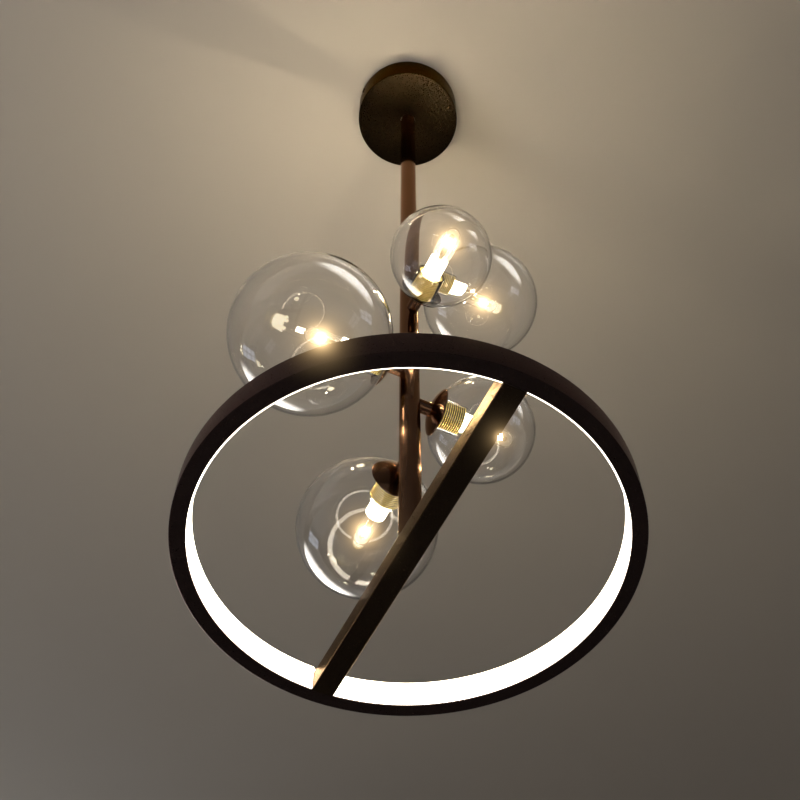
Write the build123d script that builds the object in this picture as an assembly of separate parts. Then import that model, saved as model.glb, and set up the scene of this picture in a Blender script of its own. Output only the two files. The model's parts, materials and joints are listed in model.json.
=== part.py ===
from build123d import *
import math
import os

# Orb chandelier: a ceiling canopy, a straight stem, five glass globes on short radial arms, and a
# lit ring that hangs level from a crossbar at the stem's foot. Millimetres. The ceiling is Z = 0,
# the light hangs below it, the stem is on the Z axis and the crossbar lies along X.

# Gaps between neighbouring pieces
FIT = 0.05  # pressed, threaded or fixed together
RUN = 0.1  # turning, or seated face to face
CLEAR = 0.3  # taken apart by hand
CUT = 1.0  # how far a cutter stands past the face that it cuts

# Canopy
CANOPY_D = 135.0
CANOPY_DEPTH = 46.0
CANOPY_WALL = 1.5
CANOPY_EDGE_R = 1.2

# Ceiling bracket, a slotted steel strip along Y with its ends turned down
BRACKET_W = 20.0
BRACKET_T = 2.0
BRACKET_TAB = 16.0
SLOT_PITCH = 80.0
SLOT_L = 14.0
SLOT_W = 5.0

# Machine screws of the canopy, the earth point and the stem collar
SCREW_D = 4.0
SCREW_HOLE_D = 4.6
SCREW_HEAD_D = 6.5
SCREW_HEAD_T = 1.2
CANOPY_SCREW_L = 5.6
CANOPY_SCREW_DROP = 10.0
EARTH_INSET = 8.0  # from the bracket's turned-down end in to the earth screw's axis
GRUB_L = 5.5

# Electrical parts inside the canopy
DRIVER_L = 58.0
DRIVER_W = 24.0
DRIVER_H = 18.0
DRIVER_EDGE_R = 1.5
TERMINAL_L = 12.0
TERMINAL_W = 16.0
TERMINAL_H = 10.0
TERMINAL_INSET = 1.5  # between the terminal block and the bracket's turned-down end
TERMINAL_HOLE_D = 3.0
TERMINAL_PITCH = 8.0

# Stem and the collar that carries it on the canopy's floor
STEM_D = 19.0
STEM_WALL = 1.5
STEM_STANDOUT = 2.0
COLLAR_D = 32.0
COLLAR_H = 9.0
COLLAR_CHAMFER = 0.8
WASHER_T = 1.0
STEM_WIRE_D = 2.4
STEM_WIRE_PITCH = 2.5

# Ring: a channel that is open towards the stem
RING_D = 360.0
RING_H = 25.0
RING_DROP = 933.0  # from the ceiling down to the ring's underside
RING_WEB = 2.0
RING_FLANGE = 1.5
RING_DEPTH = 12.7
RING_EDGE_R = 0.8

# Light inside the ring
DIFFUSER_T = 1.2
DIFFUSER_H = 23.0
DIFFUSER_RIB_T = 1.2
DIFFUSER_RIB_DEPTH = 3.8
STRIP_T = 1.0
STRIP_W = 10.0
CHIP_L = 5.0
CHIP_W = 3.0
CHIP_T = 1.2
CHIPS_EACH_SIDE = 30

# Crossbar, a rectangular tube whose underside is level with the ring's
BAR_W = 19.0
BAR_H = 18.0
BAR_WALL = 1.5
BAR_EDGE_R = 1.0
BLOCK_REACH = 20.0
BLOCK_SCREW_D = 3.4
BLOCK_SCREW_HOLE_D = 3.8
BLOCK_SCREW_L = 8.0
BLOCK_SCREW_PITCH = 9.0
BLOCK_SCREW_HEAD_D = 6.4
BLOCK_SCREW_HEAD_T = 2.0
BAR_WIRE_D = 2.4
BAR_WIRE_DROP = 6.0  # from the crossbar's underside up to the wire's axis

# Foot joint of the stem on the crossbar
NIPPLE_D = 10.0
NIPPLE_BORE = 7.0
NIPPLE_HOLE_D = 10.4
NIPPLE_GRIP = 18.0
PLUG_H = 20.0
FOOT_NUT_AF = 14.0
FOOT_NUT_H = 5.0

# Arms: S is the distance from the stem's axis along an arm
ARM_D = 12.6
ARM_THREAD_D = 10.0
ARM_HOLE_D = 10.4
ARM_BORE = 4.4
ARM_WIRE_D = 3.2
ARM_ROOT_S = 3.0
ARM_SHOULDER_S = 20.0
HUB_H = 16.0
HUB_BORE = 5.6
ARM_NUT_AF = 15.0
ARM_NUT_T = 3.0

# Caps, shallow domes that cover the mouths of the globes
CAP_D = 45.0
CAP_DEPTH = 6.8
CAP_T = 1.0
CAP_LAND = 0.7  # width of the rim, along the arm

# Lampholders: a sleeve, ribbed where the glass screws on, round an insert with two sockets
HOLDER_D = 25.0
HOLDER_L = 25.0
HOLDER_THREAD_DEPTH = 1.0
HOLDER_PITCH = 2.0
HOLDER_GRIP = 6.0  # thickness of the sleeve's floor, which screws on the arm
INSERT_D = 21.0
SOCKET_D = 3.0
SOCKET_DEPTH = 10.0

# Bulbs with two pins
PIN_PITCH = 9.0
PIN_D = 2.4
PIN_L = 9.0
BULB_BASE_D = 18.0
BULB_BASE_L = 20.0
BULB_EDGE_R = 1.0
CAPSULE_D = 15.0
CAPSULE_L = 35.0
CAPSULE_WALL = 0.8
LED_POST_D = 6.0
LED_POST_L = 28.0

# Glass globes with a neck that turns back inside
GLASS_T = 1.8
NECK_T = 1.5
NECK_REACH = 2.0  # how far the neck runs past the lampholder
SMALL_GLOBE = 100.0
MEDIUM_GLOBE = 125.0
LARGE_GLOBE = 150.0

# How far each arm's axis is above the ring's underside
RISE_1 = 358.0
RISE_2 = 249.0
RISE_3 = 450.0
RISE_4 = 203.0
RISE_5 = 122.0

# Each arm: its heading about Z in degrees, its rise, its globe's diameter
ARMS = [
    (0, RISE_1, SMALL_GLOBE),
    (270, RISE_2, LARGE_GLOBE),
    (90, RISE_3, MEDIUM_GLOBE),
    (90, RISE_4, SMALL_GLOBE),
    (180, RISE_5, MEDIUM_GLOBE),
]

# Levels and radii that follow from the sizes above
CANOPY_R = CANOPY_D / 2
BRACKET_END_Y = math.sqrt((CANOPY_R - CANOPY_WALL - CLEAR) ** 2 - (BRACKET_W / 2) ** 2)
TAB_Y = BRACKET_END_Y - BRACKET_T
EARTH_SCREW_Y = EARTH_INSET - TAB_Y
TERMINAL_Y = TAB_Y - TERMINAL_INSET - TERMINAL_L / 2
STEM_R = STEM_D / 2
STEM_BORE_R = STEM_R - STEM_WALL
FLOOR_Z = CANOPY_WALL - CANOPY_DEPTH
WASHER_Z = FLOOR_Z + RUN
COLLAR_Z = WASHER_Z + WASHER_T
STEM_TOP = COLLAR_Z + COLLAR_H + STEM_STANDOUT
RING_R = RING_D / 2
RING_LOW = -RING_DROP
RING_TOP = RING_LOW + RING_H
LIP_R = RING_R - RING_DEPTH
WEB_R = RING_R - RING_WEB
BAR_TOP = RING_LOW + BAR_H
BAR_HOLLOW_TOP = BAR_TOP - BAR_WALL
WIRE_Z = RING_LOW + BAR_WIRE_DROP
NIPPLE_LOW = BAR_HOLLOW_TOP - FOOT_NUT_H - CUT
HOLDER_R = HOLDER_D / 2
INSERT_R = INSERT_D / 2
NECK_BORE_R = HOLDER_R + CLEAR
NECK_R = NECK_BORE_R + NECK_T
CAP_R = CAP_D / 2
DOME_R = (CAP_R**2 + CAP_DEPTH**2) / (2 * CAP_DEPTH)
DOME_S = ARM_SHOULDER_S + DOME_R
RIM_S = ARM_SHOULDER_S + CAP_DEPTH + CAP_LAND
NUT_CORNER_R = ARM_NUT_AF / math.sqrt(3)
NUT_S = DOME_S - math.sqrt((DOME_R - CAP_T) ** 2 - NUT_CORNER_R**2) + FIT
HOLDER_S = NUT_S + ARM_NUT_T
HOLDER_END_S = HOLDER_S + HOLDER_L
THREAD_END_S = HOLDER_S + HOLDER_GRIP
BULB_S = HOLDER_END_S + RUN
CAPSULE_S = BULB_S + BULB_BASE_L


def rod(radius, low, high, x=0.0, y=0.0):
    """A cylinder along Z between two levels."""
    return Pos(x, y, (low + high) / 2) * Cylinder(radius, high - low)


def pipe(outer, inner, low, high):
    """A tube about Z between two levels."""
    return rod(outer, low, high) - rod(inner, low - CUT, high + CUT)


def block(x_range, y_range, z_range):
    """A box given by its low and high faces along X, Y and Z."""
    spans = (x_range, y_range, z_range)
    centre = [sum(span) / 2 for span in spans]
    size = [span[1] - span[0] for span in spans]
    return Pos(*centre) * Box(*size)


def hexagon(across_flats, low, high):
    """A hexagonal bar about Z, with two of its corners along X."""
    outline = RegularPolygon(across_flats / 2, 6, major_radius=False)
    return extrude(Pos(0, 0, low) * outline, high - low)


def along_x(shape):
    """Turn a shape made along Z to lie along X."""
    return Rot(0, 90, 0) * shape


def along_y(shape):
    """Turn a shape made along Z to lie along Y."""
    return Rot(-90, 0, 0) * shape


def both_ends(shape):
    """The shape and its copy turned half round about Z."""
    return [shape, Rot(0, 0, 180) * shape]


def arm_frame(arm):
    """Where an arm lies: its own Z runs out from the stem, and its own X points down."""
    heading, rise, _ = arm
    return Pos(0, 0, RING_LOW + rise) * Rot(0, 0, heading) * Rot(0, 90, 0)


def canopy_screw_hole(diameter):
    return along_y(rod(diameter / 2, -CANOPY_D, CANOPY_D))


def ceiling_bracket():
    across = (-BRACKET_W / 2, BRACKET_W / 2)
    strip = block(across, (-BRACKET_END_Y, BRACKET_END_Y), (-BRACKET_T, 0))
    tab = block(across, (TAB_Y, BRACKET_END_Y), (-BRACKET_TAB, 0))
    for piece in both_ends(tab):
        strip += piece
    slot = extrude(SlotOverall(SLOT_L, SLOT_W, rotation=90), BRACKET_T + 2 * CUT)
    for side in (-1, 1):
        strip -= Pos(0, side * SLOT_PITCH / 2, -BRACKET_T - CUT) * slot
    strip -= Pos(0, 0, -CANOPY_SCREW_DROP) * canopy_screw_hole(SCREW_D + 2 * FIT)
    return strip - rod(SCREW_D / 2 + FIT, -BRACKET_T - CUT, CUT, 0, EARTH_SCREW_Y)


def canopy():
    cup = rod(CANOPY_R, -CANOPY_DEPTH, 0)
    cup = fillet(cup.edges().group_by(Axis.Z)[0], CANOPY_EDGE_R)
    cup -= rod(CANOPY_R - CANOPY_WALL, FLOOR_Z, CUT)
    cup -= rod(STEM_R + RUN, -CANOPY_DEPTH - CUT, CUT)
    return cup - Pos(0, 0, -CANOPY_SCREW_DROP) * canopy_screw_hole(SCREW_HOLE_D)


def canopy_screws():
    shank = rod(SCREW_D / 2, CANOPY_R - CANOPY_SCREW_L, CANOPY_R)
    head = rod(SCREW_HEAD_D / 2, CANOPY_R, CANOPY_R + SCREW_HEAD_T)
    return both_ends(Pos(0, 0, -CANOPY_SCREW_DROP) * along_y(shank + head))


def led_driver():
    level = -BRACKET_T
    body = block(
        (-DRIVER_W / 2, DRIVER_W / 2),
        (-DRIVER_L / 2, DRIVER_L / 2),
        (level - DRIVER_H, level),
    )
    return fillet(body.edges().filter_by(Axis.Z), DRIVER_EDGE_R)


def terminal_block():
    body = block(
        (-TERMINAL_W / 2, TERMINAL_W / 2),
        (TERMINAL_Y - TERMINAL_L / 2, TERMINAL_Y + TERMINAL_L / 2),
        (-BRACKET_T - TERMINAL_H, -BRACKET_T),
    )
    entry = Pos(0, TERMINAL_Y, -BRACKET_T - TERMINAL_H / 2) * along_y(
        rod(TERMINAL_HOLE_D / 2, -TERMINAL_L, TERMINAL_L)
    )
    for side in (-1, 1):
        body -= Pos(side * TERMINAL_PITCH / 2, 0, 0) * entry
    return body


def earth_screw():
    head_low = -BRACKET_T - SCREW_HEAD_T
    shank = rod(SCREW_D / 2, -BRACKET_T, -CLEAR, 0, EARTH_SCREW_Y)
    return shank + rod(SCREW_HEAD_D / 2, head_low, -BRACKET_T, 0, EARTH_SCREW_Y)


def collar_washer():
    return pipe(COLLAR_D / 2, STEM_R + FIT, WASHER_Z, COLLAR_Z)


def grub(radius, low, high):
    """A level cylinder along X at mid height of the collar, between two distances from Z."""
    return Pos(0, 0, COLLAR_Z + COLLAR_H / 2) * along_x(rod(radius, low, high))


def stem_collar():
    ring = rod(COLLAR_D / 2, COLLAR_Z, COLLAR_Z + COLLAR_H)
    ring = chamfer(ring.edges().group_by(Axis.Z)[-1], COLLAR_CHAMFER)
    ring -= rod(STEM_R + FIT, COLLAR_Z - CUT, COLLAR_Z + COLLAR_H + CUT)
    return ring - grub(SCREW_D / 2 + FIT, 0, COLLAR_D)


def collar_set_screw():
    return grub(SCREW_D / 2, STEM_R + FIT, STEM_R + FIT + GRUB_L)


def stem_tube():
    tube = pipe(STEM_R, STEM_BORE_R, BAR_TOP, STEM_TOP)
    hole = rod(ARM_HOLE_D / 2, 0, STEM_D)
    for arm in ARMS:
        tube -= arm_frame(arm) * hole
    return tube


def arm_hubs():
    body = along_x(pipe(STEM_BORE_R - FIT, HUB_BORE / 2, -HUB_H / 2, HUB_H / 2))
    body -= rod(ARM_THREAD_D / 2 + FIT, 0, STEM_D)
    return [arm_frame(arm) * body for arm in ARMS]


def stem_wires():
    low = NIPPLE_LOW
    high = STEM_TOP - CUT
    offset = STEM_WIRE_PITCH / 2
    return [rod(STEM_WIRE_D / 2, low, high, 0, side * offset) for side in (-1, 1)]


def radial_arm():
    """A neck with a saddle end that fits the stem, and a thread through it from end to end."""
    neck = rod(ARM_D / 2, 0, ARM_SHOULDER_S)
    neck -= along_x(rod(STEM_R + FIT, -STEM_D, STEM_D))
    neck += rod(ARM_THREAD_D / 2, ARM_ROOT_S, THREAD_END_S - RUN)
    return neck - rod(ARM_BORE / 2, 0, THREAD_END_S + CUT)


def arm_wire():
    return rod(ARM_WIRE_D / 2, ARM_ROOT_S, THREAD_END_S - RUN)


def arm_nut():
    body = hexagon(ARM_NUT_AF, NUT_S, HOLDER_S)
    return body - rod(ARM_THREAD_D / 2 + FIT, NUT_S - CUT, HOLDER_S + CUT)


def globe_centre_s(diameter):
    """How far a globe's centre is from the stem's axis when the glass meets the cap's rim."""
    return RIM_S + CLEAR + math.sqrt((diameter / 2) ** 2 - CAP_R**2)


def globe_cap(diameter):
    """A domed disc, thin at the middle and hollowed to seat the glass at its rim."""
    middle = Pos(0, 0, DOME_S)
    dome = rod(CAP_R, 0, RIM_S) & middle * Sphere(DOME_R)
    dome -= middle * Sphere(DOME_R - CAP_T)
    dome -= Pos(0, 0, globe_centre_s(diameter)) * Sphere(diameter / 2 + CLEAR)
    return dome - rod(ARM_HOLE_D / 2, 0, RIM_S)


def lampholder():
    """A ribbed sleeve whose floor is tapped for the arm's thread."""
    body = rod(HOLDER_R - HOLDER_THREAD_DEPTH, HOLDER_S, HOLDER_END_S)
    ribs = int(HOLDER_L // HOLDER_PITCH)
    for number in range(ribs):
        low = HOLDER_S + number * HOLDER_PITCH
        body += rod(HOLDER_R, low, low + HOLDER_PITCH / 2)
    body -= rod(ARM_THREAD_D / 2 + FIT, HOLDER_S - CUT, THREAD_END_S + CUT)
    return body - rod(INSERT_R + FIT, THREAD_END_S, HOLDER_END_S + CUT)


def socket_insert():
    """A plug that fills the sleeve down to its floor, with a blind socket for each pin."""
    body = rod(INSERT_R, THREAD_END_S + FIT, HOLDER_END_S)
    for side in (-1, 1):
        low = HOLDER_END_S - SOCKET_DEPTH
        body -= rod(SOCKET_D / 2, low, HOLDER_END_S + CUT, 0, side * PIN_PITCH / 2)
    return body


def bulb_base():
    """The moulded base, its two pins, and the post inside the capsule that carries the LEDs."""
    body = rod(BULB_BASE_D / 2, BULB_S, CAPSULE_S)
    body = fillet(body.edges().group_by(Axis.Z)[-1], BULB_EDGE_R)
    for side in (-1, 1):
        body += rod(PIN_D / 2, BULB_S - PIN_L, BULB_S + CUT, 0, side * PIN_PITCH / 2)
    return body + rod(LED_POST_D / 2, CAPSULE_S - CUT, CAPSULE_S + LED_POST_L)


def capsule_form(radius, tip_s):
    """A round-ended cylinder from the bulb's base to its tip."""
    middle = tip_s - radius
    return rod(radius, CAPSULE_S, middle) + Pos(0, 0, middle) * Sphere(radius)


def bulb_capsule():
    tip_s = CAPSULE_S + CAPSULE_L
    outer = capsule_form(CAPSULE_D / 2, tip_s)
    return outer - capsule_form(CAPSULE_D / 2 - CAPSULE_WALL, tip_s - CAPSULE_WALL)


def glass_globe(diameter):
    radius = diameter / 2
    middle = Pos(0, 0, globe_centre_s(diameter))
    ball = middle * Sphere(radius)
    neck = rod(NECK_R, 0, HOLDER_END_S + NECK_REACH) & ball
    shell = ball - middle * Sphere(radius - GLASS_T) + neck
    return shell - rod(NECK_BORE_R, 0, HOLDER_END_S + NECK_REACH + CUT)


def foot_plug():
    return pipe(STEM_BORE_R - FIT, NIPPLE_D / 2 + FIT, BAR_TOP, BAR_TOP + PLUG_H)


def foot_nipple():
    return pipe(NIPPLE_D / 2, NIPPLE_BORE / 2, NIPPLE_LOW, BAR_TOP + NIPPLE_GRIP)


def foot_nut():
    low = BAR_HOLLOW_TOP - FOOT_NUT_H
    body = hexagon(FOOT_NUT_AF, low, BAR_HOLLOW_TOP)
    return body - rod(NIPPLE_D / 2 + FIT, low - CUT, BAR_TOP)


def bar_screw_x():
    """Where the screws through the crossbar's top are, midway along the blocks' tongues."""
    return LIP_R - BLOCK_REACH / 2


def ring_screw_x():
    """Where the screws through the ring's top are, midway across the channel."""
    return (LIP_R + WEB_R) / 2


def ring_screw_places():
    """Two places at each end of the crossbar, as X and Y."""
    half = BLOCK_SCREW_PITCH / 2
    return [(end * ring_screw_x(), side * half) for end in (-1, 1) for side in (-1, 1)]


def bar_screw_places():
    return [(end * bar_screw_x(), 0.0) for end in (-1, 1)]


def crossbar():
    length = (-RING_R, RING_R)
    tube = block(length, (-BAR_W / 2, BAR_W / 2), (RING_LOW, BAR_TOP))
    tube = fillet(tube.edges().filter_by(Axis.X), BAR_EDGE_R)
    half = BAR_W / 2 - BAR_WALL
    tube -= block(length, (-half, half), (RING_LOW + BAR_WALL, BAR_HOLLOW_TOP))
    tube = tube & rod(LIP_R - FIT, RING_LOW - CUT, BAR_TOP + CUT)
    tube -= rod(NIPPLE_HOLE_D / 2, BAR_HOLLOW_TOP - CUT, BAR_TOP + CUT)
    for x, y in bar_screw_places():
        tube -= rod(BLOCK_SCREW_HOLE_D / 2, BAR_HOLLOW_TOP - CUT, BAR_TOP + CUT, x, y)
    return tube


def bar_end_blocks():
    """A tongue inside the crossbar and a foot that fills the ring's channel, at each end."""
    half = BAR_W / 2 - BAR_WALL - FIT
    low = RING_LOW + BAR_WALL + FIT
    tongue = block((LIP_R - BLOCK_REACH, WEB_R), (-half, half), (low, BAR_HOLLOW_TOP - FIT))
    foot = block(
        (0, RING_R),
        (-BAR_W / 2, BAR_W / 2),
        (RING_LOW + RING_FLANGE + FIT, RING_TOP - RING_FLANGE - FIT),
    )
    foot -= rod(LIP_R, RING_LOW, RING_TOP)
    body = (foot + tongue) & rod(WEB_R - FIT, RING_LOW, RING_TOP)
    body -= Pos(0, 0, WIRE_Z) * along_x(rod(BAR_WIRE_D / 2 + CLEAR, 0, RING_R))
    radius = BLOCK_SCREW_D / 2 + FIT
    for x, y in [(ring_screw_x(), y) for y in (-BLOCK_SCREW_PITCH / 2, BLOCK_SCREW_PITCH / 2)]:
        body -= rod(radius, RING_TOP - BLOCK_SCREW_L - CUT, RING_TOP, x, y)
    body -= rod(radius, BAR_TOP - BLOCK_SCREW_L - CUT, BAR_TOP, bar_screw_x(), 0)
    return both_ends(body)


def block_screw(x, y, level):
    """A pan-head screw, its head seated on a level face."""
    shank = rod(BLOCK_SCREW_D / 2, level - BLOCK_SCREW_L, level, x, y)
    head = rod(BLOCK_SCREW_HEAD_D / 2, level, level + BLOCK_SCREW_HEAD_T, x, y)
    return shank + head


def end_block_screws():
    screws = [block_screw(x, y, RING_TOP) for x, y in ring_screw_places()]
    return screws + [block_screw(x, y, BAR_TOP) for x, y in bar_screw_places()]


def bar_wire():
    """The ring's feed, along the crossbar from the foot nipple to the far channel."""
    return Pos(0, 0, WIRE_Z) * along_x(rod(BAR_WIRE_D / 2, 0, WEB_R - STRIP_T - CHIP_T - CLEAR))


def ring_frame():
    body = pipe(RING_R, LIP_R, RING_LOW, RING_TOP)
    rims = body.edges().filter_by(GeomType.CIRCLE).sort_by(SortBy.RADIUS)[-2:]
    body = fillet(rims, RING_EDGE_R)
    body -= rod(WEB_R, RING_LOW + RING_FLANGE, RING_TOP - RING_FLANGE)
    for x, y in ring_screw_places():
        body -= rod(BLOCK_SCREW_HOLE_D / 2, RING_TOP - RING_FLANGE - CUT, RING_TOP + CUT, x, y)
    return body


def half_ring(shape, side):
    """The part of a ring on one side of the crossbar, stopping short of it."""
    near = BAR_W / 2 + CLEAR
    y_range = (near, RING_D) if side > 0 else (-RING_D, -near)
    return shape & block((-RING_D, RING_D), y_range, (RING_LOW - CUT, RING_TOP + CUT))


def diffuser(side):
    """An opal band over the channel's mouth, with a rib behind each edge that snaps inside."""
    middle = (RING_LOW + RING_TOP) / 2
    back_r = LIP_R - RUN
    band = pipe(back_r, back_r - DIFFUSER_T, middle - DIFFUSER_H / 2, middle + DIFFUSER_H / 2)
    rib_low = RING_LOW + RING_FLANGE + RUN
    rib_high = RING_TOP - RING_FLANGE - RUN - DIFFUSER_RIB_T
    for low in (rib_low, rib_high):
        band += pipe(back_r + DIFFUSER_RIB_DEPTH, back_r - FIT, low, low + DIFFUSER_RIB_T)
    return half_ring(band, side)


def led_strips():
    middle = (RING_LOW + RING_TOP) / 2
    outer = WEB_R - RUN
    band = pipe(outer, outer - STRIP_T, middle - STRIP_W / 2, middle + STRIP_W / 2)
    return [half_ring(band, side) for side in (-1, 1)]


def led_chips():
    """Chips evenly round both strips, with a free stretch at the crossbar's ends."""
    middle = (RING_LOW + RING_TOP) / 2
    face = WEB_R - RUN - STRIP_T
    back = math.sqrt(face**2 - (CHIP_L / 2) ** 2)
    chip = block((back - CHIP_T, back), (-CHIP_L / 2, CHIP_L / 2), (-CHIP_W / 2, CHIP_W / 2))
    step = 180 / CHIPS_EACH_SIDE
    turns = [(number + 0.5) * step for number in range(2 * CHIPS_EACH_SIDE)]
    reach = BAR_W / 2 + CLEAR + CHIP_L / 2
    kept = [turn for turn in turns if abs(math.sin(math.radians(turn))) * face > reach]
    return [Pos(0, 0, middle) * Rot(0, 0, turn) * chip for turn in kept]


def solids_of(shape):
    """Every separate solid in a shape or in a list of shapes."""
    shapes = shape if isinstance(shape, list) else [shape]
    return [solid for item in shapes for solid in item.solids()]


def save(name, shape):
    solids = solids_of(shape)
    body = solids[0] if len(solids) == 1 else Compound(children=solids)
    export_step(body, f"parts/{name}.step")


os.makedirs("parts", exist_ok=True)

single_nodes = {
    "ceiling_bracket": ceiling_bracket(),
    "canopy": canopy(),
    "canopy_screws": canopy_screws(),
    "led_driver": led_driver(),
    "terminal_block": terminal_block(),
    "earth_screw": earth_screw(),
    "stem_tube": stem_tube(),
    "stem_collar": stem_collar(),
    "collar_washer": collar_washer(),
    "collar_set_screw": collar_set_screw(),
    "stem_wires": stem_wires(),
    "arm_hubs": arm_hubs(),
    "arm_wires": [arm_frame(arm) * arm_wire() for arm in ARMS],
    "arm_nuts": [arm_frame(arm) * arm_nut() for arm in ARMS],
    "socket_inserts": [arm_frame(arm) * socket_insert() for arm in ARMS],
    "foot_plug": foot_plug(),
    "foot_nipple": foot_nipple(),
    "foot_nut": foot_nut(),
    "crossbar": crossbar(),
    "bar_end_blocks": bar_end_blocks(),
    "end_block_screws": end_block_screws(),
    "bar_wire": bar_wire(),
    "ring_frame": ring_frame(),
    "led_strips": led_strips(),
    "led_chips": led_chips(),
    "diffuser_a": diffuser(1),
    "diffuser_b": diffuser(-1),
}
for node_name, node_shape in single_nodes.items():
    save(node_name, node_shape)

for index, arm_sizes in enumerate(ARMS, start=1):
    frame = arm_frame(arm_sizes)
    globe_d = arm_sizes[2]
    save(f"arm_{index}", frame * radial_arm())
    save(f"globe_cap_{index}", frame * globe_cap(globe_d))
    save(f"lampholder_{index}", frame * lampholder())
    save(f"glass_globe_{index}", frame * glass_globe(globe_d))
    save(f"bulb_base_{index}", frame * bulb_base())
    save(f"bulb_capsule_{index}", frame * bulb_capsule())
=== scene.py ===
import json
import math

import bmesh
import bpy
from mathutils import Matrix, Vector


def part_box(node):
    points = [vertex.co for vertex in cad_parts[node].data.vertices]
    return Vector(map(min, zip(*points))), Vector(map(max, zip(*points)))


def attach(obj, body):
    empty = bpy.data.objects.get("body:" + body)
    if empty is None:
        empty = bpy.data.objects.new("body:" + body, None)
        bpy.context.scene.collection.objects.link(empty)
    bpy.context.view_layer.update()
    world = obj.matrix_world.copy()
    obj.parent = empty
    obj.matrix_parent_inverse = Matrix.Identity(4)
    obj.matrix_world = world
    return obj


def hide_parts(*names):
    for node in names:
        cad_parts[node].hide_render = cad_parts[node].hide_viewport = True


# Orb chandelier. Metres, +Z up, the ceiling at Z = 0. A light hangs below it: a canopy, a stem,
# five glass globes on level arms, and a lit ring on a crossbar.

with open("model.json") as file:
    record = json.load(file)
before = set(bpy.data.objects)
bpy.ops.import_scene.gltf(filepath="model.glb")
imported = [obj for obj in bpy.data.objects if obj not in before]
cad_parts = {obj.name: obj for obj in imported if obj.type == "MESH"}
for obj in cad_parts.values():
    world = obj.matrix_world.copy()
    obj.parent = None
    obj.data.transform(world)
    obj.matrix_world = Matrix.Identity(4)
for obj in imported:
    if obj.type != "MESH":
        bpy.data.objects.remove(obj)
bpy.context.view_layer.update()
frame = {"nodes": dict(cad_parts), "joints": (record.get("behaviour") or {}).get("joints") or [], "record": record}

TURN = 2 * math.pi
GLOBES = range(1, 6)

# Points in a full turn of a piece, and spans in each arc of an outline.
RING_STEPS = 192
TUBE_STEPS = 96
GLOBE_STEPS = 128
POST_STEPS = 32
PIN_STEPS = 24
CORNER_STEPS = 6
DOME_STEPS = 36
DOME_BACK_STEPS = 24
CAPSULE_TIP_STEPS = 24
BEAD_STEPS = 8

# Edges that turn by more than the smooth angle stay crisp, and points this close become one.
SMOOTH_ANGLE = math.radians(32)
MERGE_DISTANCE = 1e-7
DEGENERATE_EDGE = 1e-8
NEARLY_STRAIGHT = 0.01


# ---------------------------------------------------------------- mesh helpers


def link_object(name, data):
    """A new object in the scene for a mesh, a light or a camera."""
    thing = bpy.data.objects.new(name, data)
    bpy.context.scene.collection.objects.link(thing)
    return thing


def link_mesh(name, bm):
    """Turns a bmesh into a smooth-shaded object with crisp corners."""
    bmesh.ops.remove_doubles(bm, verts=bm.verts, dist=MERGE_DISTANCE)
    bmesh.ops.recalc_face_normals(bm, faces=bm.faces)
    mesh = bpy.data.meshes.new(name)
    bm.to_mesh(mesh)
    bm.free()
    mesh.shade_smooth()
    mesh.set_sharp_from_angle(angle=SMOOTH_ANGLE)
    return link_object(name, mesh)


def arc(centre, radius, start, end, steps):
    """Points on an arc in the plane of a profile; angles in radians from the first axis."""
    angles = [start + (end - start) * i / steps for i in range(steps + 1)]
    return [(centre[0] + radius * math.cos(a), centre[1] + radius * math.sin(a)) for a in angles]


def ball_arc(radius, centre, start, end, steps):
    """Profile points of a ball centred on the axis; angles from its pole on the stem's side."""
    angles = [start + (end - start) * i / steps for i in range(steps + 1)]
    return [(radius * math.sin(a), centre - radius * math.cos(a)) for a in angles]


def rounded(outline, radius):
    """A closed outline with each corner rounded; radius is one value or one for each corner."""
    count = len(outline)
    radii = radius if isinstance(radius, list) else [radius] * count
    points = []
    for i, corner in enumerate(outline):
        here = Vector(corner)
        before = (Vector(outline[i - 1]) - here).normalized()
        after = (Vector(outline[(i + 1) % count]) - here).normalized()
        half = before.angle(after) / 2
        if radii[i] <= 0 or half > math.pi / 2 - NEARLY_STRAIGHT:
            points.append(tuple(here))
            continue
        reach = radii[i] / math.tan(half)
        centre = here + (before + after).normalized() * radii[i] / math.sin(half)
        first = here + before * reach - centre
        last = here + after * reach - centre
        for step in range(CORNER_STEPS + 1):
            way = first.lerp(last, step / CORNER_STEPS).normalized() * radii[i]
            points.append(tuple(centre + way))
    return points


def lathe(name, outline, place, steps, start=0.0, sweep=TURN, closed=True):
    """Turns an outline of (radius, height) points about the Z axis of a place.

    An outline that isn't closed starts and ends on the axis.
    """
    bm = bmesh.new()
    whole = sweep == TURN
    rows = steps if whole else steps + 1
    rings = []
    for row in range(rows):
        angle = start + sweep * row / steps
        way = Vector((math.cos(angle), math.sin(angle), 0))
        rings.append([bm.verts.new(place @ (way * r + Vector((0, 0, h)))) for r, h in outline])
    spans = len(outline) if closed else len(outline) - 1
    for row in range(rows if whole else rows - 1):
        near, far = rings[row], rings[(row + 1) % rows]
        for i in range(spans):
            j = (i + 1) % len(outline)
            if max(outline[i][0], outline[j][0]) > MERGE_DISTANCE:
                bm.faces.new((near[i], near[j], far[j], far[i]))
    if not whole:
        bm.faces.new(rings[0])
        bm.faces.new(reversed(rings[-1]))
    bmesh.ops.dissolve_degenerate(bm, edges=bm.edges, dist=DEGENERATE_EDGE)
    return link_mesh(name, bm)


def join(bm, near, far):
    """Faces between two loops of the same count."""
    for i in range(len(near)):
        j = (i + 1) % len(near)
        bm.faces.new((near[i], near[j], far[j], far[i]))


def bridge(bm, loop, place, radius, height):
    """Joins a loop to a new one at a radius and height, and returns the new loop."""
    fresh = []
    for i in range(len(loop)):
        angle = TURN * i / len(loop)
        point = Vector((radius * math.cos(angle), radius * math.sin(angle), height))
        fresh.append(bm.verts.new(place @ point))
    join(bm, loop, fresh)
    return fresh


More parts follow.
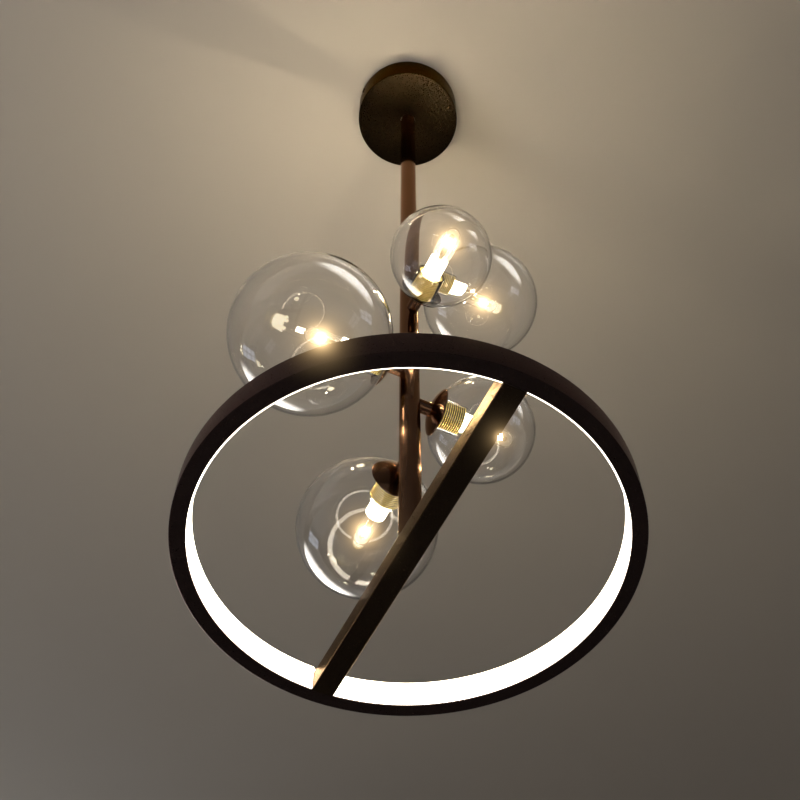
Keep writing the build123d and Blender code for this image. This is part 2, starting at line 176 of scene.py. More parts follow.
def close_pole(bm, loop, place, height):
    """Closes a loop with a fan to one point on the axis."""
    pole = bm.verts.new(place @ Vector((0, 0, height)))
    for i in range(len(loop)):
        bm.faces.new((loop[i], loop[(i + 1) % len(loop)], pole))


# ---------------------------------------------------------------- sizes, from the frame

ORIGIN = Matrix.Identity(4)

ring_low, ring_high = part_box("ring_frame")
stem_low, stem_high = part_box("stem_tube")
canopy_low, canopy_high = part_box("canopy")
bar_low, bar_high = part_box("crossbar")
band_low, band_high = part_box("diffuser_a")

# Ring and its opal bands.
RING_R = 0.180
RING_DEPTH = 0.0127
RING_WEB = 0.002
RING_FLANGE = 0.0015
RING_EDGE_R = 0.0008
LIP_R = RING_R - RING_DEPTH
LIP_EDGE_R = 0.0003
BAND_T = 0.0012
BAND_GAP = 0.0001
BAND_RIB = 0.0038
BAND_EDGE_R = 0.0003

# Canopy, stem and crossbar.
CANOPY_R = 0.0675
CANOPY_WALL = 0.0015
CANOPY_EDGE_R = 0.0012
STEM_R = 0.0095
STEM_WALL = 0.0015
STEM_HOLE_GAP = 0.0001
STEM_EDGE_R = 0.0002
BAR_W = 0.019
BAR_EDGE_R = 0.001
JOINT_GAP = 0.0003

# Arms and the caps on them.
ARM_R = 0.0063
ARM_SHOULDER = 0.020
ARM_EDGE_R = 0.0002
CAP_R = 0.0225
CAP_DEPTH = 0.0068
CAP_T = 0.001
CAP_LAND = 0.0007
CAP_BEVEL = 0.0002
CAP_HOLLOW_SHARE = 0.84
SEAT_GAP = 0.0003

# Lampholders. The thread fades out at both ends, over a share of its pitch, and its roots are
# wider than its crests. Below the groove line, a share of its depth, it is painted darker: painted shade in the
# grooves.
HOLDER_R = 0.0125
HOLDER_PITCH = 0.002
HOLDER_THREAD = 0.0009
HOLDER_FLOOR = 0.006
INSERT_R = 0.0106
THREAD_ROWS = 10
THREAD_FADE = 0.8
THREAD_POWER = 1.5
GROOVE_SHADE_LINE = 0.35

# Bulbs.
PIN_R = 0.0012
PIN_PITCH = 0.009
PIN_L = 0.009
PIN_EDGE_R = 0.0005
BASE_R = 0.009
BASE_EDGE_R = 0.001
BASE_BACK_EDGE_R = 0.0005
CAPSULE_R = 0.0075
CAPSULE_WALL = 0.0008
POST_R = 0.0025
POST_L = 0.028
POST_EDGE_R = 0.0008
CORE_LOW = 0.016
CORE_HIGH = 0.023

# Globes.
GLASS_T = 0.0018
NECK_R = 0.0143
NECK_BORE_R = 0.0128
NECK_REACH = 0.002


def arm_place(number):
    """Where arm number lies: Z runs out from the stem, X points down."""
    joint = next(j for j in frame["joints"] if j["name"] == f"globe_{number}_off")
    out = Vector(joint["axis"]).normalized()
    down = Vector((0, 0, -1))
    side = out.cross(down)
    low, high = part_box(f"arm_{number}")
    middle = Vector((0, 0, (low.z + high.z) / 2))
    return Matrix.Translation(middle) @ Matrix((down, side, out)).transposed().to_4x4()


def along(number, node):
    """The span of a node along its arm, from the stem's axis."""
    out = arm_place(number).col[2].to_3d()
    ends = sorted(corner.dot(out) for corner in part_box(node))
    return ends[0], ends[1]


def globe_radius(number):
    """A globe's radius, to a tenth of a millimetre."""
    low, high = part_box(f"glass_globe_{number}")
    return round((high.z - low.z) / 2, 4)


# ---------------------------------------------------------------- materials

# Noise scales and details. A larger scale is a finer pattern.
METAL_DRIFT = 9
METAL_DRIFT_DETAIL = 2
METAL_GRAIN = 700
METAL_GRAIN_DETAIL = 4
MOULDED_DRIFT = 60
MILKY_DRIFT = 120
MILKY_GRAIN = 700
FINE_GRAIN = 900
GLASS_WAVES = 26
GLASS_WAVES_DETAIL = 2
PAINT_DRIFT = 1.3
PAINT_GRAIN = 160
NOISE_DETAIL = 3

# Noise mostly stays between these two values.
NOISE_LOW = 0.3
NOISE_HIGH = 0.7

# Heights of the surfaces' relief, in metres, and how strongly the wider ones show.
METAL_RELIEF = 0.0000004
MOULDED_RELIEF = 0.00001
FROSTED_RELIEF = 0.000004
GLASS_WAVE_HEIGHT = 0.0004
GLASS_WAVE_STRENGTH = 0.18
PAINT_RELIEF = 0.0003
PAINT_RELIEF_STRENGTH = 0.3

# The shares of a finish's roughness that it wanders between.
METAL_UNEVEN = (0.85, 1.2)
MOULDED_UNEVEN = (0.9, 1.15)
MILKY_UNEVEN = (0.9, 1.1)

EVEN = (1, 1, 1)
MILLED_ALONG_X = (1, 12, 12)
MILKY_SHADE = 0.9
PAINT_ROUGHNESS = 0.85
GLASS_COLOUR = (1.0, 1.0, 1.0)
GLASS_IOR = 1.47
FROSTED_COLOUR = (1.0, 0.99, 0.97)
FROSTED_IOR = 1.12
FROSTED_ROUGHNESS = (0.02, 0.035)
FROSTED_GLOW_COLOUR = (1.0, 0.86, 0.62)
FROSTED_GLOW = 0.03
# A painted glow on the holders' brass, for the bulbs' light between holder and globe.
HOLDER_GLOW_COLOUR = (1.0, 0.74, 0.2)
HOLDER_GLOW = 0.4


def new_material(name):
    """A material with a Principled shader, and its nodes and shader."""
    material = bpy.data.materials.new(name)
    material.use_nodes = True
    tree = material.node_tree
    shader = tree.nodes["Principled BSDF"]
    return material, tree, shader


def noise(tree, scale, detail=NOISE_DETAIL, stretch=EVEN):
    """Noise in the object's own metres, stretched along its axes."""
    place = tree.nodes.new("ShaderNodeTexCoord")
    mapping = tree.nodes.new("ShaderNodeMapping")
    mapping.inputs["Scale"].default_value = stretch
    texture = tree.nodes.new("ShaderNodeTexNoise")
    texture.inputs["Scale"].default_value = scale
    texture.inputs["Detail"].default_value = detail
    tree.links.new(place.outputs["Object"], mapping.inputs["Vector"])
    tree.links.new(mapping.outputs["Vector"], texture.inputs["Vector"])
    return texture.outputs["Fac"]


def spread(tree, value, low, high):
    """Maps noise to a range."""
    node = tree.nodes.new("ShaderNodeMapRange")
    node.inputs["From Min"].default_value = NOISE_LOW
    node.inputs["From Max"].default_value = NOISE_HIGH
    node.inputs["To Min"].default_value = low
    node.inputs["To Max"].default_value = high
    tree.links.new(value, node.inputs["Value"])
    return node.outputs["Result"]


def two_tone(tree, shader, value, dark, light):
    """Colours a surface with two tones, mixed by noise."""
    node = tree.nodes.new("ShaderNodeMix")
    node.data_type = "RGBA"
    node.inputs["A"].default_value = (*dark, 1)
    node.inputs["B"].default_value = (*light, 1)
    tree.links.new(spread(tree, value, 0, 1), node.inputs["Factor"])
    tree.links.new(node.outputs["Result"], shader.inputs["Base Color"])


def uneven(tree, shader, value, roughness, shares):
    """Lets a surface's roughness wander between two shares of it."""
    low, high = shares
    result = spread(tree, value, roughness * low, roughness * high)
    tree.links.new(result, shader.inputs["Roughness"])


def bump(tree, shader, value, height, strength=1.0):
    """Raises a surface by noise, up to a height in metres."""
    node = tree.nodes.new("ShaderNodeBump")
    node.inputs["Distance"].default_value = height
    node.inputs["Strength"].default_value = strength
    tree.links.new(value, node.inputs["Height"])
    tree.links.new(node.outputs["Normal"], shader.inputs["Normal"])


def glow(shader, colour, strength):
    """Lets a surface give out light."""
    shader.inputs["Emission Color"].default_value = (*colour, 1)
    shader.inputs["Emission Strength"].default_value = strength


def metal(name, dark, light, roughness, stretch=EVEN, turned=0.0, edge=1.0):
    """A metal with a slow drift of tone, and a fine grain in its roughness and surface.

    Turned draws its highlights out along polishing marks, and edge is how bright it is at a slant.
    """
    material, tree, shader = new_material(name)
    shader.inputs["Metallic"].default_value = 1.0
    shader.inputs["Anisotropic"].default_value = turned
    slant = [edge * (part / max(light)) ** 0.5 for part in light]
    shader.inputs["Specular Tint"].default_value = (*slant, 1)
    two_tone(tree, shader, noise(tree, METAL_DRIFT, METAL_DRIFT_DETAIL), dark, light)
    fine = noise(tree, METAL_GRAIN, METAL_GRAIN_DETAIL, stretch)
    uneven(tree, shader, fine, roughness, METAL_UNEVEN)
    bump(tree, shader, fine, METAL_RELIEF)
    return material


def turned_finish(material):
    """Lays the polishing marks round the stem, so that its highlights run along it."""
    tree = material.node_tree
    round_stem = tree.nodes.new("ShaderNodeTangent")
    round_stem.direction_type = "RADIAL"
    round_stem.axis = "Z"
    tree.links.new(round_stem.outputs["Tangent"], tree.nodes["Principled BSDF"].inputs["Tangent"])


def lit_by_bulb(material):
    """Paints a little glow on the brass, for the light that goes back and forth between a holder and its globe."""
    glow(material.node_tree.nodes["Principled BSDF"], HOLDER_GLOW_COLOUR, HOLDER_GLOW)


def moulded(name, dark, light, roughness):
    """Plastic, enamel or glaze with slight unevenness."""
    material, tree, shader = new_material(name)
    two_tone(tree, shader, noise(tree, MOULDED_DRIFT), dark, light)
    fine = noise(tree, FINE_GRAIN)
    uneven(tree, shader, fine, roughness, MOULDED_UNEVEN)
    bump(tree, shader, fine, MOULDED_RELIEF)
    return material


def glowing(name, colour, light, strength, roughness):
    """A lit, milky body that is slightly cloudy, and uneven in its gloss."""
    material, tree, shader = new_material(name)
    glow(shader, light, strength)
    cloudy = tuple(part * MILKY_SHADE for part in colour)
    two_tone(tree, shader, noise(tree, MILKY_DRIFT), cloudy, colour)
    uneven(tree, shader, noise(tree, MILKY_GRAIN), roughness, MILKY_UNEVEN)
    return material


def frosted_glass(name):
    """Thin frosted glass, filled with light."""
    material, tree, shader = new_material(name)
    shader.inputs["Base Color"].default_value = (*FROSTED_COLOUR, 1)
    shader.inputs["IOR"].default_value = FROSTED_IOR
    shader.inputs["Transmission Weight"].default_value = 1.0
    glow(shader, FROSTED_GLOW_COLOUR, FROSTED_GLOW)
    fine = noise(tree, FINE_GRAIN)
    uneven(tree, shader, fine, 1.0, FROSTED_ROUGHNESS)
    bump(tree, shader, fine, FROSTED_RELIEF)
    return material


def clear_glass(name):
    """Blown glass with a faint waviness."""
    material, tree, shader = new_material(name)
    shader.inputs["Base Color"].default_value = (*GLASS_COLOUR, 1)
    shader.inputs["Roughness"].default_value = 0.0
    shader.inputs["IOR"].default_value = GLASS_IOR
    shader.inputs["Transmission Weight"].default_value = 1.0
    waves = noise(tree, GLASS_WAVES, GLASS_WAVES_DETAIL)
    bump(tree, shader, waves, GLASS_WAVE_HEIGHT, GLASS_WAVE_STRENGTH)
    return material


# Metals: the darker tone, the lighter tone and the roughness.
BRONZE = metal("dark_bronze", (0.095, 0.05, 0.03), (0.12, 0.064, 0.039), 0.16)
STEM_BRONZE = metal(
    "stem_bronze", (0.11, 0.064, 0.042), (0.135, 0.078, 0.052), 0.1, turned=1.0, edge=0.9
)
# The crossbar has the stem's bronze, made darker as painted shade for its dim underside.
BAR_SHADED_BRONZE = metal("bar_bronze_shaded", (0.032, 0.022, 0.0145), (0.036, 0.0245, 0.0165), 0.3)
# The canopy has the same bronze, made near black and duller at a slant as painted shade, for the dim room that it
# mirrors.
CANOPY_SHADED_BRONZE = metal(
    "canopy_bronze_shaded", (0.0125, 0.008, 0.0038), (0.017, 0.011, 0.0052), 0.28, edge=0.6
)
RING_BLACK = metal("ring_black", (0.036, 0.025, 0.0245), (0.045, 0.031, 0.0305), 0.3)
BRASS = metal("holder_brass", (1.0, 0.8, 0.28), (1.0, 0.84, 0.36), 0.34)
# The grooves' darker brass is painted shade in the thread.
BRASS_GROOVE_SHADE = metal("holder_groove_shade", (0.1, 0.06, 0.02), (0.14, 0.085, 0.03), 0.45)
SCREW_BLACK = metal("screw_black", (0.05, 0.045, 0.04), (0.07, 0.06, 0.05), 0.35)
ZINC = metal("zinc_plate", (0.6, 0.6, 0.58), (0.72, 0.72, 0.68), 0.3)
ALUMINIUM = metal(
    "milled_aluminium", (0.74, 0.74, 0.75), (0.8, 0.8, 0.8), 0.35, stretch=MILLED_ALONG_X
)
turned_finish(STEM_BRONZE)
lit_by_bulb(BRASS)

# Mouldings: the darker tone, the lighter tone and the roughness.
CERAMIC = moulded("white_ceramic", (0.84, 0.82, 0.76), (0.9, 0.88, 0.83), 0.3)
CASE = moulded("driver_plastic", (0.8, 0.8, 0.79), (0.86, 0.86, 0.85), 0.5)
NYLON = moulded("nylon", (0.84, 0.83, 0.8), (0.9, 0.89, 0.86), 0.45)
SLEEVE = moulded("wire_sleeve", (0.72, 0.7, 0.64), (0.82, 0.8, 0.74), 0.5)
BOARD = moulded("white_board", (0.85, 0.85, 0.83), (0.9, 0.9, 0.88), 0.4)
POST = moulded("led_post", (0.1, 0.085, 0.055), (0.13, 0.11, 0.07), 0.4)

# Lit bodies: their own colour, their light's colour, its strength and the roughness.
BAND_GLOW = glowing("opal_band", (0.95, 0.93, 0.9), (1.0, 0.9, 0.74), 5.0, 0.35)
BASE_GLOW = glowing("bulb_base_white", (0.95, 0.93, 0.88), (1.0, 0.88, 0.62), 10.0, 0.35)
CORE_GLOW = glowing("led_core", (0.95, 0.85, 0.4), (1.0, 0.84, 0.58), 3300.0, 0.4)
CHIP_GLOW = glowing("led_chip", (0.95, 0.85, 0.4), (1.0, 0.86, 0.6), 6.0, 0.4)

GLASS = clear_glass("clear_glass")
CAPSULE = frosted_glass("frosted_capsule")

SLOT_MATERIALS = {
    "bronze": BRONZE,
    "black_ring": RING_BLACK,
    "dark_screw": SCREW_BLACK,
    "zinc_steel": ZINC,
    "brass_hub": BRASS,
    "aluminium_block": ALUMINIUM,
    "driver_case": CASE,
    "moulding": NYLON,
    "flex": SLEEVE,
    "circuit_strip": BOARD,
    "led_phosphor": CHIP_GLOW,
    "opal_diffuser": BAND_GLOW,
    "holder": BRASS,
    "socket_ceramic": CERAMIC,
    "clear_glass": GLASS,
    "bulb_base": BASE_GLOW,
    "bulb_capsule": CAPSULE,
}


def dress_cad_nodes():
    """Gives every carried-over node the material of its slot."""
    for entry in frame["record"]["subparts"]:
        node = frame["nodes"][entry["node"]]
        node.data.materials.clear()
        node.data.materials.append(SLOT_MATERIALS[entry["material_slot"]])


def finish_piece(piece, material, slot, body, *nodes):
    """Material, body and the nodes that the piece stands for; slot is not used."""
    piece.data.materials.append(material)
    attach(piece, body)
    if nodes:
        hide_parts(*nodes)


# ---------------------------------------------------------------- canopy, stem and crossbar


def make_canopy():
    """A deep cup with its floor down, and a hole in the floor for the stem."""
    low, top = canopy_low.z, canopy_high.z
    hole = STEM_R + STEM_HOLE_GAP
    inner = CANOPY_R - CANOPY_WALL
    outline = [
        (CANOPY_R, top),
        (CANOPY_R, low),
        (hole, low),
        (hole, low + CANOPY_WALL),
        (inner, low + CANOPY_WALL),
        (inner, top),
    ]
    radii = [LIP_EDGE_R, CANOPY_EDGE_R, LIP_EDGE_R, 0, 0, LIP_EDGE_R]
    piece = lathe("canopy_cup", rounded(outline, radii), ORIGIN, RING_STEPS)
    finish_piece(piece, CANOPY_SHADED_BRONZE, "bronze", "ceiling_plate", "canopy")


def make_stem():
    """A plain tube from inside the canopy down to the crossbar."""
    inner = STEM_R - STEM_WALL
    outline = [
        (STEM_R, stem_low.z),
        (STEM_R, stem_high.z),
        (inner, stem_high.z),
        (inner, stem_low.z),
    ]
    piece = lathe("stem_post", rounded(outline, STEM_EDGE_R), ORIGIN, TUBE_STEPS)
    finish_piece(piece, STEM_BRONZE, "bronze", "hanging_frame", "stem_tube")


def make_crossbar():
    """A rounded box section, each end cut to the curve of the ring's mouth."""
    half = BAR_W / 2
    section = [(-half, bar_low.z), (half, bar_low.z), (half, bar_high.z), (-half, bar_high.z)]
    section = rounded(section, BAR_EDGE_R)
    bm = bmesh.new()
    ends = []
    for side in (-1, 1):
        end = []
        for y, z in section:
            x = side * math.sqrt(LIP_R**2 - y**2)
            end.append(bm.verts.new((x, y, z)))
        ends.append(end)
    join(bm, ends[0], ends[1])
    bm.faces.new(ends[0])
    bm.faces.new(reversed(ends[1]))
    piece = link_mesh("crossbar_tube", bm)
    finish_piece(piece, BAR_SHADED_BRONZE, "bronze", "hanging_frame", "crossbar")


# ---------------------------------------------------------------- ring and its light


def make_ring():
    """A channel with its mouth towards the stem."""
    low, top = ring_low.z, ring_high.z
    web = RING_R - RING_WEB
    outline = [
        (RING_R, low),
        (RING_R, top),
        (LIP_R, top),
        (LIP_R, top - RING_FLANGE),
        (web, top - RING_FLANGE),
        (web, low + RING_FLANGE),
        (LIP_R, low + RING_FLANGE),
        (LIP_R, low),
    ]
    radii = [RING_EDGE_R, RING_EDGE_R, LIP_EDGE_R, LIP_EDGE_R, 0, 0, LIP_EDGE_R, LIP_EDGE_R]
    piece = lathe("ring_channel", rounded(outline, radii), ORIGIN, RING_STEPS)
    finish_piece(piece, RING_BLACK, "black_ring", "hanging_frame", "ring_frame")


def make_bands():
    """The opal bands, one on each side of the crossbar, with two ribs behind each face."""
    back = LIP_R - BAND_GAP
    face = back - BAND_T
    rib = back + BAND_RIB
    low, top = band_low.z, band_high.z
    rib_low = ring_low.z + RING_FLANGE + BAND_GAP
    rib_top = ring_high.z - RING_FLANGE - BAND_GAP
    outline = [
        (face, low),
        (face, top),
        (back, top),
        (back, rib_top),
        (rib, rib_top),
        (rib, rib_top - BAND_T),
        (back, rib_top - BAND_T),
        (back, rib_low + BAND_T),
        (rib, rib_low + BAND_T),
        (rib, rib_low),
        (back, rib_low),
        (back, low),
    ]
    outline = rounded(outline, [BAND_EDGE_R, BAND_EDGE_R] + [0] * (len(outline) - 2))
    short = math.asin((BAR_W / 2 + JOINT_GAP) / face)
    for start, name in ((short, "a"), (math.pi + short, "b")):
        sweep = math.pi - 2 * short
        piece = lathe(f"opal_band_{name}", outline, ORIGIN, RING_STEPS, start, sweep)
        finish_piece(piece, BAND_GLOW, "opal_diffuser", "hanging_frame", f"diffuser_{name}")


# ---------------------------------------------------------------- arms, caps and holders


def make_arm(number):
    """A short round arm from inside the stem's wall through the cap."""
    root = STEM_R - STEM_WALL
    end = ARM_SHOULDER + CAP_T
    outline = rounded([(0, root), (ARM_R, root), (ARM_R, end), (0, end)], [0, 0, ARM_EDGE_R, 0])
    piece = lathe(f"arm_neck_{number}", outline, arm_place(number), TUBE_STEPS, closed=False)
    finish_piece(piece, BRONZE, "bronze", "hanging_frame", f"arm_{number}")


def cap_arc(radius, centre, edge_r, steps):
    """Points of a dome from the arm's axis out to an edge radius."""
    return ball_arc(radius, centre, 0, math.asin(edge_r / radius), steps)


def make_cap(number):
    """A shallow dome over a globe's mouth, hollow on the globe's side."""
    dome = (CAP_R**2 + CAP_DEPTH**2) / (2 * CAP_DEPTH)
    centre = ARM_SHOULDER + dome
    rim = ARM_SHOULDER + CAP_DEPTH + CAP_LAND
    hollow_r = (CAP_R - CAP_LAND) * CAP_HOLLOW_SHARE
    outer = cap_arc(dome, centre, CAP_R - CAP_BEVEL, DOME_STEPS)
    inner = cap_arc(dome - CAP_T, centre, hollow_r, DOME_BACK_STEPS)
    edge = [
        (CAP_R, outer[-1][1] + CAP_BEVEL),
        (CAP_R, rim - CAP_BEVEL),
        (CAP_R - CAP_BEVEL, rim),
    ]
    outline = outer + edge + list(reversed(inner))
    piece = lathe(f"cap_dome_{number}", outline, arm_place(number), TUBE_STEPS, closed=False)
    finish_piece(piece, BRONZE, "bronze", "hanging_frame", f"globe_cap_{number}")


def thread_wall(bm, place, low, high):
    """A lampholder's threaded wall, which fades out at both ends; returns its end loops."""
    rows = int((high - low) / HOLDER_PITCH * THREAD_ROWS)
    fade = HOLDER_PITCH * THREAD_FADE
    loops = []
    for row in range(rows + 1):
        height = low + (high - low) * row / rows
        ease = min(1.0, (height - low) / fade, (high - height) / fade)
        loop = []
        for step in range(TUBE_STEPS):
            turn = step / TUBE_STEPS
            wave = 0.5 + 0.5 * math.cos(TURN * (height / HOLDER_PITCH - turn))
            r = HOLDER_R - HOLDER_THREAD * ease * (1 - wave**THREAD_POWER)
            angle = TURN * turn
            point = Vector((r * math.cos(angle), r * math.sin(angle), height))
            loop.append(bm.verts.new(place @ point))
        loops.append(loop)
    for near, far in zip(loops, loops[1:]):
        join(bm, near, far)
    return loops[0], loops[-1]


def paint_groove_shade(bm, place):
    """Gives the faces deep in a lampholder's thread the second material, a darker brass that is painted shade."""
    groove_r = HOLDER_R - HOLDER_THREAD * GROOVE_SHADE_LINE
    to_arm = place.inverted()
    for face in bm.faces:
        centre = to_arm @ face.calc_center_median()
        if math.hypot(centre.x, centre.y) < groove_r:
            face.material_index = 1


def make_holder(number):
    """A threaded brass sleeve, bright on its crests, with painted shade in its grooves."""
    place = arm_place(number)
    low, high = along(number, f"lampholder_{number}")
    bm = bmesh.new()
    bottom, top = thread_wall(bm, place, low, high)
    paint_groove_shade(bm, place)
    floor = bridge(bm, bottom, place, ARM_R, low)
    mouth = bridge(bm, top, place, INSERT_R, high)
    step = bridge(bm, mouth, place, INSERT_R, low + HOLDER_FLOOR)
    well = bridge(bm, step, place, ARM_R, low + HOLDER_FLOOR)
    join(bm, well, floor)
    sleeve = link_mesh(f"holder_sleeve_{number}", bm)
    finish_piece(sleeve, BRASS, "holder", "hanging_frame", f"lampholder_{number}")
    sleeve.data.materials.append(BRASS_GROOVE_SHADE)


# ---------------------------------------------------------------- bulbs and globes


def make_bulb(number):
    """A two-pin bulb: pins, a white base, a frosted capsule and the post inside it."""
    place = arm_place(number)
    base_low = along(number, f"bulb_base_{number}")[0] + PIN_L
    low, tip = along(number, f"bulb_capsule_{number}")
    make_base(number, place, base_low, low)
    make_capsule(number, place, low, tip)
    make_post(number, place, low)
    make_pins(number, place, base_low)


def make_base(number, place, low, top):
    """The white base of a bulb."""
    outline = [(0, low), (BASE_R, low), (BASE_R, top), (0, top)]
    outline = rounded(outline, [0, BASE_BACK_EDGE_R, BASE_EDGE_R, 0])
    base = lathe(f"bulb_body_{number}", outline, place, TUBE_STEPS, closed=False)
    finish_piece(base, BASE_GLOW, "bulb_base", f"bulb_{number}", f"bulb_base_{number}")


def make_capsule(number, place, low, tip):
    """The round-ended capsule of a bulb, which lets the light out without a shadow."""
    middle = (0, tip - CAPSULE_R)
    inner_r = CAPSULE_R - CAPSULE_WALL
    outer = [(CAPSULE_R, low)] + arc(middle, CAPSULE_R, 0, math.pi / 2, CAPSULE_TIP_STEPS)
    inner = arc(middle, inner_r, math.pi / 2, 0, CAPSULE_TIP_STEPS) + [(inner_r, low)]
    capsule = lathe(f"bulb_envelope_{number}", outer + inner, place, TUBE_STEPS)
    capsule.visible_shadow = False
    finish_piece(capsule, CAPSULE, "bulb_capsule", f"bulb_{number}", f"bulb_capsule_{number}")


def make_post(number, place, low):
    """The post inside the capsule, lit round its middle."""
    levels = [low, low + CORE_LOW, low + CORE_HIGH, low + POST_L]
    for start, end, name in zip(levels, levels[1:], ("foot", "core", "tip")):
        outline = [(0, start), (POST_R, start), (POST_R, end), (0, end)]
        outline = rounded(outline, [0, 0, POST_EDGE_R if name == "tip" else 0, 0])
        piece = lathe(f"led_post_{name}_{number}", outline, place, POST_STEPS, closed=False)
        material = CORE_GLOW if name == "core" else POST
        finish_piece(piece, material, "bulb_base", f"bulb_{number}")


def make_pins(number, place, base_low):
    """The two pins that a bulb plugs in with."""
    for side, name in ((-1, "left"), (1, "right")):
        shift = place @ Matrix.Translation((0, side * PIN_PITCH / 2, 0))
        end = base_low - PIN_L
        outline = [(0, end), (PIN_R, end), (PIN_R, base_low), (0, base_low)]
        outline = rounded(outline, [0, PIN_EDGE_R, 0, 0])
        pin = lathe(f"bulb_pin_{name}_{number}", outline, shift, PIN_STEPS, closed=False)
        finish_piece(pin, ZINC, "bulb_base", f"bulb_{number}")


def globe_walls(number):
    """A globe's profile: from its far pole round outside, over the neck's lip and back inside."""
    radius = globe_radius(number)
    rim = ARM_SHOULDER + CAP_DEPTH + CAP_LAND + SEAT_GAP
    centre = rim + math.sqrt(radius**2 - CAP_R**2)
    inner_r = radius - GLASS_T
    steps = GLOBE_STEPS // 2
    outer = ball_arc(radius, centre, math.asin(NECK_BORE_R / radius), math.pi, steps)
    inner = ball_arc(inner_r, centre, math.pi, math.asin(NECK_R / inner_r), steps)
    neck_end = along(number, f"lampholder_{number}")[1] + NECK_REACH
    bead_r = (NECK_R - NECK_BORE_R) / 2
    bead = arc((NECK_BORE_R + bead_r, neck_end - bead_r), bead_r, 0, math.pi, BEAD_STEPS)
    return list(reversed(outer)) + list(reversed(bead)) + list(reversed(inner))


def make_globe(number):
    """A blown ball with a neck turned back inside, all one wall of glass."""
    place = arm_place(number)
    walls = globe_walls(number)
    bm = bmesh.new()
    pole = place @ Vector((0, 0, walls[0][1]))
    loop = [bm.verts.new(pole) for _ in range(GLOBE_STEPS)]
    for r, h in walls[1:-1]:
        loop = bridge(bm, loop, place, r, h)
    close_pole(bm, loop, place, walls[-1][1])
    bmesh.ops.remove_doubles(bm, verts=bm.verts, dist=MERGE_DISTANCE)
    bmesh.ops.dissolve_degenerate(bm, edges=bm.edges, dist=DEGENERATE_EDGE)
    globe = link_mesh(f"globe_glass_{number}", bm)
    globe.visible_shadow = False
    finish_piece(globe, GLASS, "clear_glass", f"globe_{number}", f"glass_globe_{number}")


# ---------------------------------------------------------------- room

ROOM_SIZE = 9.0
FLOOR_LEVEL = -2.5
CEILING_LEVEL = 0.0004
FLOOR_TONES = ((0.6, 0.58, 0.55), (0.64, 0.62, 0.59))
CEILING_TONES = ((0.50, 0.462, 0.418), (0.52, 0.482, 0.438))


def plane(name, level, facing):
    """A square of floor or ceiling that faces up or down."""
    bm = bmesh.new()
    half = ROOM_SIZE / 2
    corners = [(-half, -half), (half, -half), (half, half), (-half, half)]
    verts = [bm.verts.new((x, y, level)) for x, y in corners]
    bm.faces.new(verts if facing == "up" else list(reversed(verts)))
    mesh = bpy.data.meshes.new(name)
    bm.to_mesh(mesh)
    bm.free()
    piece = link_object(name, mesh)
    return piece


def paint(name, tones):
    """Matt wall paint with slow drifts of tone and a fine roller texture."""
    material, tree, shader = new_material(name)
    two_tone(tree, shader, noise(tree, PAINT_DRIFT), *tones)
    shader.inputs["Roughness"].default_value = PAINT_ROUGHNESS
    bump(tree, shader, noise(tree, PAINT_GRAIN), PAINT_RELIEF, PAINT_RELIEF_STRENGTH)
    return material, tree, shader


def make_floor():
    """The pale floor."""
    floor = plane("floor", FLOOR_LEVEL, "up")
    floor.data.materials.append(paint("floor_paint", FLOOR_TONES)[0])


def make_ceiling():
    """The ceiling, which is clear from above, so that it doesn't hide the light there."""
    ceiling = plane("ceiling", CEILING_LEVEL, "down")
    material, tree, shader = paint("ceiling_paint", CEILING_TONES)
    side = tree.nodes.new("ShaderNodeNewGeometry")
    clear = tree.nodes.new("ShaderNodeBsdfTransparent")
    choose = tree.nodes.new("ShaderNodeMixShader")
    tree.links.new(side.outputs["Backfacing"], choose.inputs["Fac"])
    tree.links.new(shader.outputs["BSDF"], choose.inputs[1])
    tree.links.new(clear.outputs["BSDF"], choose.inputs[2])
    out = tree.nodes["Material Output"]
    tree.links.new(choose.outputs["Shader"], out.inputs["Surface"])
    ceiling.data.materials.append(material)


# ---------------------------------------------------------------- light

# What the windows and the bright wall face, and a window's panes and bars.
MIDDLE = (0, 0, -0.6)
PANE_SIZE = (0.25, 0.3)
PANE_COLUMNS = 2
PANE_ROWS = 3
WINDOW_BAR = 0.05

# A soft light has its full strength from this share of the way in from its edge.
EDGE_FADE = 0.6

WORLD_COLOUR = (0.62, 0.6, 0.58)
WORLD_SEEN = 0.4
WORLD_LIGHT = 0.0


def area_light(name, place, target, size, radiance, colour):
    """A rectangular light of a given radiance that isn't seen, not even through glass."""
    data = bpy.data.lights.new(name, "AREA")
    data.shape = "RECTANGLE"
    data.size, data.size_y = size
    data.energy = radiance * math.pi * size[0] * size[1]
    data.color = colour
    lamp = link_object(name, data)
    lamp.location = place
    aim = Vector(target) - Vector(place)
    lamp.rotation_mode = "QUATERNION"
    lamp.rotation_quaternion = aim.to_track_quat("-Z", "Y")
    lamp.visible_camera = False
    lamp.visible_transmission = False
    return lamp


def math_node(tree, operation, first, second):
    """One operation on two values, each a socket or a number."""
    node = tree.nodes.new("ShaderNodeMath")
    node.operation = operation
    for socket, value in zip(node.inputs, (first, second)):
        if isinstance(value, float):
            socket.default_value = value
        else:
            tree.links.new(value, socket)
    return node.outputs["Value"]


def faded_edges(tree):
    """One in a light's middle, falling to nothing at its edges."""
    place = tree.nodes.new("ShaderNodeNewGeometry")
    # The light's own square, from 0 to 1 each way, becomes -1 to 1 about its middle.
    spot = tree.nodes.new("ShaderNodeMapping")
    spot.inputs["Location"].default_value = (-1, -1, 0)
    spot.inputs["Scale"].default_value = (2, 2, 0)
    fall = tree.nodes.new("ShaderNodeTexGradient")
    fall.gradient_type = "SPHERICAL"
    ease = tree.nodes.new("ShaderNodeMapRange")
    ease.interpolation_type = "SMOOTHSTEP"
    ease.inputs["From Max"].default_value = EDGE_FADE
    tree.links.new(place.outputs["Parametric"], spot.inputs["Vector"])
    tree.links.new(spot.outputs["Vector"], fall.inputs["Vector"])
    tree.links.new(fall.outputs["Fac"], ease.inputs["Value"])
    return ease.outputs["Result"]


